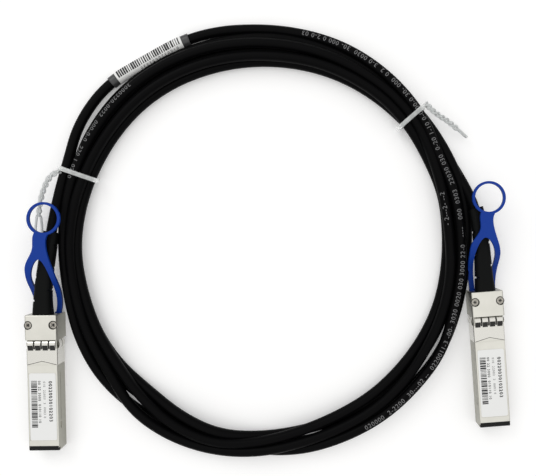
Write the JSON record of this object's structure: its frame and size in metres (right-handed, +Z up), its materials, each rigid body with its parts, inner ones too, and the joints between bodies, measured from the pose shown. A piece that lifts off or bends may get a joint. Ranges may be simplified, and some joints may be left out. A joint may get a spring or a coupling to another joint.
{
  "type": "direct attach copper cable",
  "caption": "Coiled black copper cable with a metal pluggable connector at each end, blue pull tabs, moulded boots and plastic twist ties.",
  "frame": {"origin": "on the floor, midway between the two connectors", "axes": "+Z up from the floor, +X from the left connector to the right one, +Y from the connectors' noses towards the cable"},
  "size_m": [0.2126, 0.1935, 0.0144],
  "materials": {
    "zinc_casting": "satin nickel plate",
    "black_nylon": "matte",
    "spring_steel": "bright",
    "circuit_board": "solder mask",
    "gold_pads": "polished",
    "chip_package": "matte",
    "pair_shield": "foil",
    "crimp_metal": "satin",
    "boot_rubber": "matte",
    "screw_steel": "satin",
    "label_film": "satin film",
    "blue_tab": "satin",
    "cable_jacket": "satin",
    "tie_plastic": "translucent"
  },
  "bodies": {
    "root": {"left_lower_housing": "zinc_casting", "left_upper_housing": "zinc_casting", "left_nose_guide": "black_nylon", "left_emi_spring": "spring_steel", "left_paddle_card": "circuit_board", "left_contact_pads": "gold_pads", "left_memory_chip": "chip_package", "left_wire_pairs": "pair_shield", "left_crimp_ferrule": "crimp_metal", "left_strain_relief": "boot_rubber", "left_housing_screws": "screw_steel", "left_latch_pin": "screw_steel", "left_return_spring": "spring_steel", "left_label": "label_film", "right_lower_housing": "zinc_casting", "right_upper_housing": "zinc_casting", "right_nose_guide": "black_nylon", "right_emi_spring": "spring_steel", "right_paddle_card": "circuit_board", "right_contact_pads": "gold_pads", "right_memory_chip": "chip_package", "right_wire_pairs": "pair_shield", "right_crimp_ferrule": "crimp_metal", "right_strain_relief": "boot_rubber", "right_housing_screws": "screw_steel", "right_latch_pin": "screw_steel", "right_return_spring": "spring_steel", "right_label": "label_film", "cable_coil": "cable_jacket", "cable_lead_left": "cable_jacket", "cable_lead_right": "cable_jacket", "cable_label": "label_film", "tie_left": "tie_plastic", "tie_right": "tie_plastic"},
    "left_slider": {"left_latch_slider": "spring_steel", "left_pull_tab": "blue_tab"},
    "left_lever": {"left_latch_lever": "spring_steel"},
    "right_slider": {"right_latch_slider": "spring_steel", "right_pull_tab": "blue_tab"},
    "right_lever": {"right_latch_lever": "spring_steel"}
  },
  "joints": [
    {"name": "left_pull", "type": "slide", "parent": "root", "child": "left_slider", "axis": [-0.0105, 0.9994, 0.0327], "range_m": [0, 0.0022], "stiffness_N_per_m": 60, "springref_m": -0.0005, "deforming": ["left_return_spring"]},
    {"name": "left_latch", "type": "hinge", "parent": "root", "child": "left_lever", "pos_m": [-0.09885, -0.01527, 0.00267], "axis": [-0.9999, -0.0105, 0], "range_deg": [0, 10]},
    {"name": "right_pull", "type": "slide", "parent": "root", "child": "right_slider", "axis": [-0.0749, 0.9967, 0.0327], "range_m": [0, 0.0022], "stiffness_N_per_m": 60, "springref_m": -0.0005, "deforming": ["right_return_spring"]},
    {"name": "right_latch", "type": "hinge", "parent": "root", "child": "right_lever", "pos_m": [0.09635, -0.00489, 0.00267], "axis": [-0.9972, -0.075, 0], "range_deg": [0, 10]}
  ],
  "couplings": [
    {"joint": "left_latch", "follows": "left_pull", "rad_per_m": 73.8},
    {"joint": "right_latch", "follows": "right_pull", "rad_per_m": 73.8}
  ]
}
